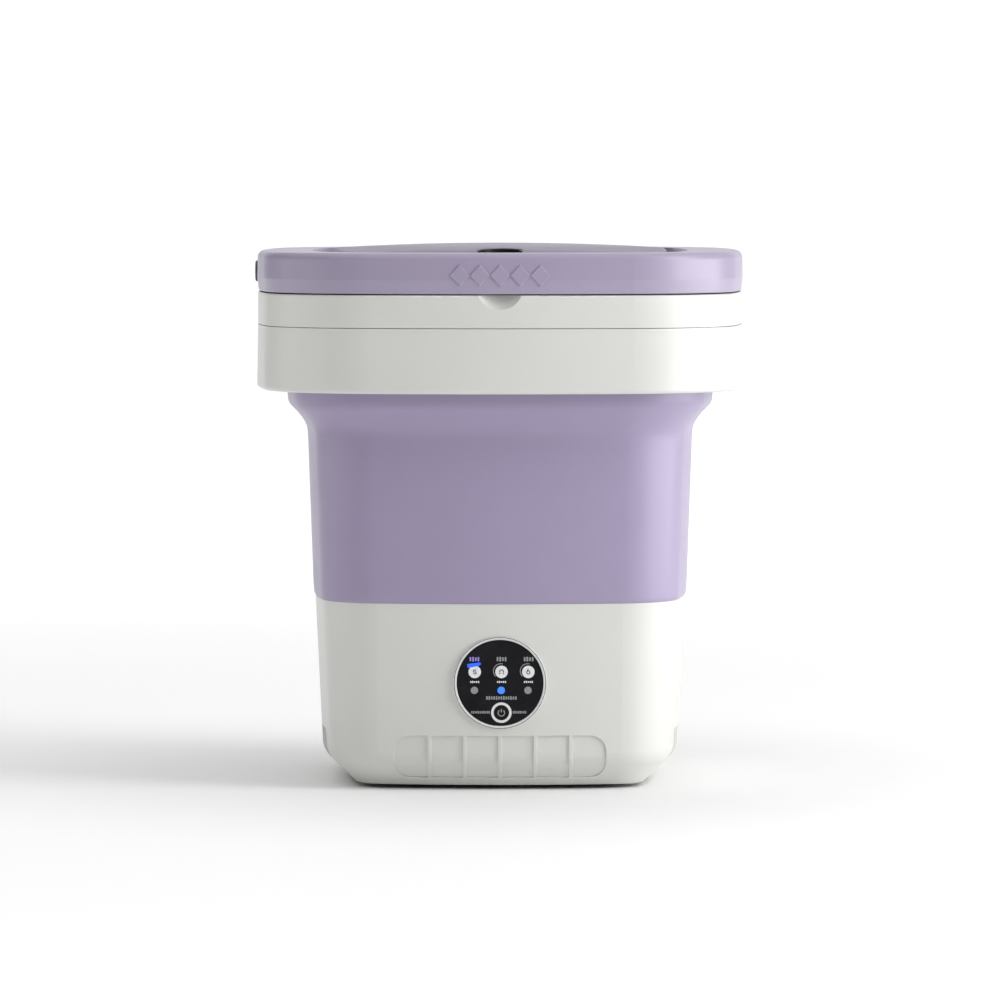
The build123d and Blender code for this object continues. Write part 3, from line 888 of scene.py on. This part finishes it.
    def sign(self, x: float, y: float, index: int) -> None:
        """A small plain sign in the middle of an icon disc.

        Args:
            x: millimetres right of the lens centre.
            y: millimetres up from it.
            index: which sign.
        """
        ink = "print_glyphs"
        if index == 0:
            for rise in (-1.1, 0.0, 1.1):
                self.mark(ink, Mark.BAR, x, y + rise, (1.9, 0.42))
            self.mark(ink, Mark.BAR, x - 0.75, y + 0.55, (0.42, 1.3))
            self.mark(ink, Mark.BAR, x + 0.75, y - 0.55, (0.42, 1.3))
        elif index == 1:
            self.mark(ink, Mark.ARC, x, y + 0.1, (1.35, 0.85), turn=90, sweep=230)
            self.mark(ink, Mark.BAR, x - 1.1, y - 1.0, (1.0, 0.45))
            self.mark(ink, Mark.BAR, x + 1.1, y - 1.0, (1.0, 0.45))
        else:
            self.mark(ink, Mark.RING, x, y - 0.3, (1.15, 0.7))
            self.mark(ink, Mark.BAR, x - 0.3, y + 1.15, (0.5, 1.3), turn=-35)

    def column(self, step: int) -> None:
        """One mode: heading, icon, caption and lamp.

        Args:
            step: -1 for the left column, 0 for the middle one, 1 for the right.
        """
        x = self.middle + step * self.pitch
        self.mark("print_icons", Mark.DISC, x, self.icon_row, (self.icon_radius, 0))
        self.sign(x, self.icon_row, step + 1)
        self.words("print_icons", x, self.caption_row, (5.6, 1.1), 5)
        heading = "print_tint" if step < 0 else "print_dim"
        self.words(heading, x + 0.2 * step, self.heading_row, (6.2, 2.5), 4)
        lamp = "print_lit" if step == 0 else "print_dim"
        self.mark(lamp, Mark.DISC, x - 0.2, self.lamp_row, (self.lamp_radius, 0))
        if step >= 0:
            self.mark(
                "print_dim", Mark.ARC, x - 0.4, self.icon_row + 0.5, (4.55, 4.1),
                turn=150, sweep=150,
            )

    def key_labels(self) -> None:
        """The status row, the key's two labels and the key's own sign."""
        self.words("print_dim", self.middle - 0.1, self.status_row, (18.2, 2.0), 13)
        label_row = self.key_row + 0.3
        self.words("print_dim", self.middle - 12.3, label_row, (11.2, 1.5), 11)
        self.words("print_dim", self.middle + 10.4, label_row, (8.2, 1.5), 8)
        size = (2.2, 1.55)
        self.mark("print_key", Mark.ARC, self.key_at, self.key_row, size, turn=-90, sweep=280)
        self.mark("print_key", Mark.BAR, self.key_at, self.key_row + 1.3, (0.65, 2.2))

    def build(self, finishes: dict[str, bpy.types.Material]) -> None:
        """Make the printed layers.

        Args:
            finishes: materials by slot.
        """
        self.meshes = {ink.name: bmesh.new() for ink in self.inks}
        for step in (-1, 0, 1):
            self.column(step)
        # Painted shade: a dark ring in the bezel groove, standing in for the groove's own shade.
        self.mark("bezel_painted_shade", Mark.RING, 0.0, 0.0, self.groove_shade_ring)
        self.mark("print_stroke", Mark.BAR, self.middle - 16.0, 10.9, (8.0, 1.5), turn=7)
        self.mark("print_stroke", Mark.BAR, self.middle - 16.4, 9.9, (7.0, 0.9), turn=10)
        self.key_labels()
        for ink in self.inks:
            piece = new_piece(ink.name, self.meshes[ink.name], finishes[ink.finish])
            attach(piece, ink.body)


@dataclass(frozen=True)
class SoftBox:
    """A rectangular lamp: where it hangs, what it points at, watts, width and height."""

    name: str
    at: Point
    aim: Point
    power: float
    size: tuple[float, float]

    def build(self) -> None:
        """Hang the lamp, out of the camera's sight."""
        data = bpy.data.lights.new(self.name, "AREA")
        data.shape = "RECTANGLE"
        data.size, data.size_y = self.size
        data.energy = self.power
        lamp = bpy.data.objects.new(self.name, data)
        lamp.location = self.at
        lamp.visible_camera = False
        way = Vector(self.aim) - Vector(self.at)
        lamp.rotation_euler = way.to_track_quat("-Z", "Y").to_euler()
        bpy.context.scene.collection.objects.link(lamp)


@dataclass
class Studio:
    """Floor, soft lights, surrounding light and camera."""

    distance: float = 3.734
    camera_height: float = 0.3705
    aim_height: float = 0.1647
    lens: float = 224.8
    sensor: float = 36.0
    floor_half: float = 6.0
    lamps: tuple[SoftBox, ...] = (
        SoftBox("key", (2.2, -0.9, 1.3), (0.0, 0.0, 0.15), power=34.0, size=(1.2, 1.6)),
        SoftBox("left", (-2.2, -0.25, 0.25), (0.0, -0.25, 0.2), power=3.5, size=(2.3, 0.5)),
        SoftBox("right", (2.2, -0.25, 0.25), (0.0, -0.25, 0.2), power=18.0, size=(2.3, 0.5)),
    )

    def build(self) -> None:
        """Make the stage, the lights and the camera."""
        self.floor()
        for lamp in self.lamps:
            lamp.build()
        self.sky()
        self.camera()
        bpy.context.scene.view_settings.view_transform = "Standard"

    def floor(self) -> None:
        """A pale matt floor with a painted glow that grows away from the object, up to the
        backdrop.
        """
        mesh = bmesh.new()
        bmesh.ops.create_grid(mesh, x_segments=1, y_segments=1, size=self.floor_half)
        tree = Tree.material("floor")
        speck = tree.noise(40.0, 2.0).ramp(0.3, 0.7)
        length = {"operation": "LENGTH"}
        reach = tree.add("ShaderNodeVectorMath", length, {0: tree.place()})["Value"]
        # Painted glow: the floor emits more light the farther it lies from the object, which
        # brightens the floor and its shadow there.
        rise = reach.ramp(0.12, 0.45, 0.0, 0.08) + reach.ramp(0.4, 2.4, 0.0, 0.27)
        finish = tree.surface({
            "Base Color": speck.mix((0.94, 0.94, 0.94), (0.95, 0.95, 0.95)),
            "Roughness": 0.7,
            "Emission Color": rise.mix((0.0, 0.0, 0.0), (1.0, 1.0, 1.0)),
            "Emission Strength": 1.0,
        })
        new_piece("floor", mesh, finish)

    def camera(self) -> None:
        """A long lens in front of the object, a little above it."""
        data = bpy.data.cameras.new("camera")
        data.lens = self.lens
        data.sensor_width = self.sensor
        camera = bpy.data.objects.new("camera", data)
        camera.location = (0, -self.distance, self.camera_height)
        aim = Vector((0, 0, self.aim_height)) - Vector(camera.location)
        camera.rotation_euler = aim.to_track_quat("-Z", "Y").to_euler()
        bpy.context.scene.collection.objects.link(camera)
        bpy.context.scene.camera = camera

    def sky(self) -> None:
        """Surrounding light: dim towards the viewer, bright behind and overhead."""
        world = bpy.data.worlds.new("studio")
        tree = Tree(world)
        way = tree.add("ShaderNodeTexCoord")["Generated"]
        parts = tree.add("ShaderNodeSeparateXYZ", None, {0: way})
        behind = parts["Y"].ramp(0.8, 0.995, 0.0, 0.95)
        overhead = parts["Z"].ramp(0.25, 0.95, 0.0, 1.03)
        values = {"Color": (1.0, 1.0, 1.0), "Strength": behind + overhead + 0.09}
        glow = tree.add("ShaderNodeBackground", None, values)["Background"]
        tree.links.new(glow.socket, tree.output.inputs["Surface"])
        bpy.context.scene.world = world


def main() -> None:
    """Build everything in order."""
    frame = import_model()
    Studio().build()
    finishes = FinishSet()
    finishes.build()
    finishes.dress(frame)
    FoldingWall.between(frame).build(finishes.made["lilac_soft"])
    PanelPrint().build(finishes.made)


if __name__ == "__main__":
    logging.basicConfig(level=logging.INFO)
    main()
